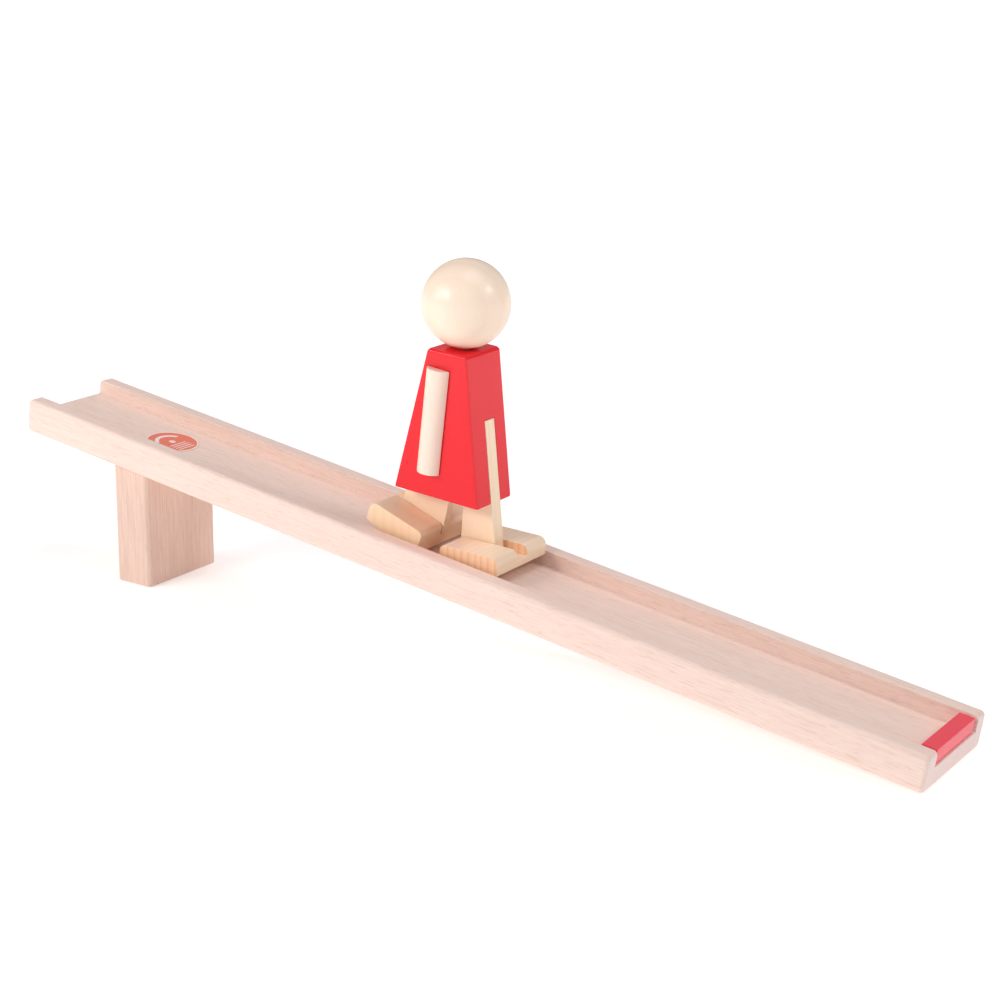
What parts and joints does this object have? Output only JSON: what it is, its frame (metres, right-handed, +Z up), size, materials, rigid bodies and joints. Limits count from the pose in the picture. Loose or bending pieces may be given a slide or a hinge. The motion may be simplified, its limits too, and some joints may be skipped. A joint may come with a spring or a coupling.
{
  "type": "wooden ramp walker toy",
  "caption": "Sloped wooden channel on an upright post, with a wooden figure whose free rear leg lets it toddle down to a stop bar.",
  "frame": {"origin": "On the table, under the middle of the toy's bounding box.", "axes": "+X downhill along the ramp in plan, +Y to the figure's left, +Z up."},
  "size_m": [0.4876, 0.0594, 0.1809],
  "materials": {
    "beech": "fine-sanded pale beech",
    "maple": "clear-varnished maple",
    "red_lacquer": "satin red lacquer on wood",
    "label": "plain orange-red sticker",
    "steel": "plain steel pin"
  },
  "bodies": {
    "ramp": {"ramp_channel": "beech", "support_post": "beech", "post_dowel_left": "beech", "post_dowel_right": "beech", "end_stop": "red_lacquer", "round_label": "label"},
    "walker": {"torso": "red_lacquer", "head": "maple", "neck_dowel": "maple", "right_arm": "maple", "left_arm": "maple", "front_leg": "maple", "front_foot": "maple", "hip_pin": "steel"},
    "rear_leg": {"rear_leg": "maple", "rear_foot": "maple"}
  },
  "joints": [
    {"name": "walker_slide", "type": "slide", "parent": "ramp", "child": "walker", "axis": [0.99, 0, -0.1408], "range_m": [-0.195, 0.203]},
    {"name": "rear_leg_swing", "type": "hinge", "parent": "walker", "child": "rear_leg", "pos_m": [-0.00712, 0, 0.09759], "axis": [0, -1, 0], "range_deg": [-30, 13]}
  ]
}
